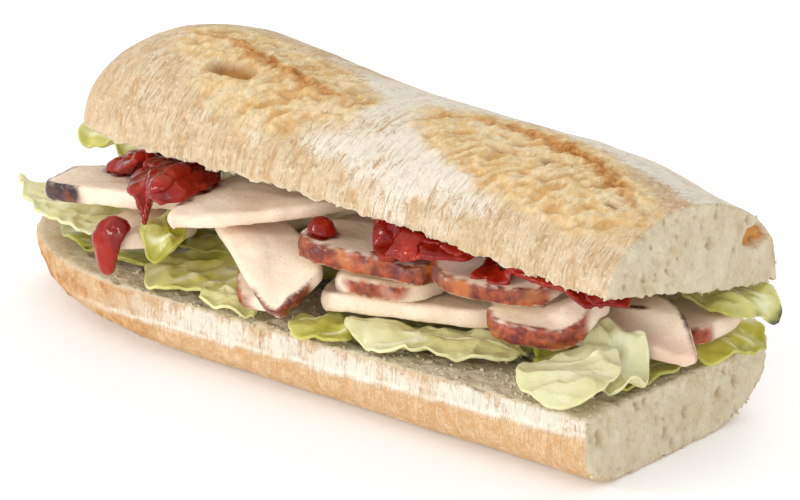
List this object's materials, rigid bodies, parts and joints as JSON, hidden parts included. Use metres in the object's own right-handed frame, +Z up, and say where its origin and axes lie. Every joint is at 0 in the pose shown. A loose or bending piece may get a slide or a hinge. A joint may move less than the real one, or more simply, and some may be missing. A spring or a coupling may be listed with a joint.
{
  "type": "submarine sandwich",
  "caption": "Cut length of crusty baguette, split and propped open at the front, filled with sliced roast chicken, lettuce leaves and red sauce.",
  "frame": {"origin": "on the surface the sandwich stands on, under the middle of its base", "axes": "+X along the loaf towards its cut end, -Y towards the open front, +Z up"},
  "size_m": [0.2295, 0.0891, 0.083],
  "materials": {
    "bread_bottom": "matte, floury golden crust and cream crumb",
    "bread_top": "matte, floury pale gold crust and cream crumb",
    "chicken_back_left": "moist satin meat with a browned edge",
    "chicken_back_middle": "moist satin meat with a browned edge",
    "chicken_back_right": "moist satin meat with a browned edge",
    "chicken_big": "moist satin meat with a browned edge",
    "chicken_crusty_middle": "moist satin meat with a browned edge",
    "chicken_crusty_right": "moist satin meat with a browned edge",
    "chicken_dark_end": "moist satin meat with a browned edge",
    "chicken_far_right": "moist satin meat with a browned edge",
    "chicken_left": "moist satin meat with a browned edge",
    "chicken_long": "moist satin meat with a browned edge",
    "chicken_lower_left": "moist satin meat with a browned edge",
    "chicken_pointed": "moist satin meat with a browned edge",
    "chicken_sloping": "moist satin meat with a browned edge",
    "chicken_strip": "moist satin meat with a browned edge",
    "chicken_under_lid": "moist satin meat with a browned edge",
    "chicken_under_strip": "moist satin meat with a browned edge",
    "leaf_back_left": "satin fresh leaf",
    "leaf_back_middle": "satin fresh leaf",
    "leaf_bed_left": "satin fresh leaf",
    "leaf_bed_middle": "satin fresh leaf",
    "leaf_bed_right": "satin fresh leaf",
    "leaf_crumpled": "satin fresh leaf",
    "leaf_curl": "satin fresh leaf",
    "leaf_dark_behind": "satin fresh leaf",
    "leaf_folded": "satin fresh leaf",
    "leaf_frilly_left": "satin fresh leaf",
    "leaf_front": "satin fresh leaf",
    "leaf_left_tip": "satin fresh leaf",
    "leaf_ribbed": "satin fresh leaf",
    "leaf_right_high": "satin fresh leaf",
    "leaf_right_low": "satin fresh leaf",
    "leaf_upright": "satin fresh leaf",
    "leaf_wavy_front": "satin fresh leaf",
    "sauce_drip": "glossy wet sauce",
    "sauce_drop": "glossy wet sauce",
    "sauce_far_left": "glossy wet sauce",
    "sauce_left": "glossy wet sauce",
    "sauce_middle": "glossy wet sauce",
    "sauce_right": "glossy wet sauce"
  },
  "bodies": {
    "root": {"bread_bottom": "bread_bottom", "bread_top": "bread_top", "chicken_back_left": "chicken_back_left", "chicken_back_middle": "chicken_back_middle", "chicken_back_right": "chicken_back_right", "chicken_big": "chicken_big", "chicken_crusty_middle": "chicken_crusty_middle", "chicken_crusty_right": "chicken_crusty_right", "chicken_dark_end": "chicken_dark_end", "chicken_far_right": "chicken_far_right", "chicken_left": "chicken_left", "chicken_long": "chicken_long", "chicken_lower_left": "chicken_lower_left", "chicken_pointed": "chicken_pointed", "chicken_sloping": "chicken_sloping", "chicken_strip": "chicken_strip", "chicken_under_lid": "chicken_under_lid", "chicken_under_strip": "chicken_under_strip", "leaf_back_left": "leaf_back_left", "leaf_back_middle": "leaf_back_middle", "leaf_bed_left": "leaf_bed_left", "leaf_bed_middle": "leaf_bed_middle", "leaf_bed_right": "leaf_bed_right", "leaf_crumpled": "leaf_crumpled", "leaf_curl": "leaf_curl", "leaf_dark_behind": "leaf_dark_behind", "leaf_folded": "leaf_folded", "leaf_frilly_left": "leaf_frilly_left", "leaf_front": "leaf_front", "leaf_left_tip": "leaf_left_tip", "leaf_ribbed": "leaf_ribbed", "leaf_right_high": "leaf_right_high", "leaf_right_low": "leaf_right_low", "leaf_upright": "leaf_upright", "leaf_wavy_front": "leaf_wavy_front", "sauce_drip": "sauce_drip", "sauce_drop": "sauce_drop", "sauce_far_left": "sauce_far_left", "sauce_left": "sauce_left", "sauce_middle": "sauce_middle", "sauce_right": "sauce_right"}
  },
  "joints": []
}
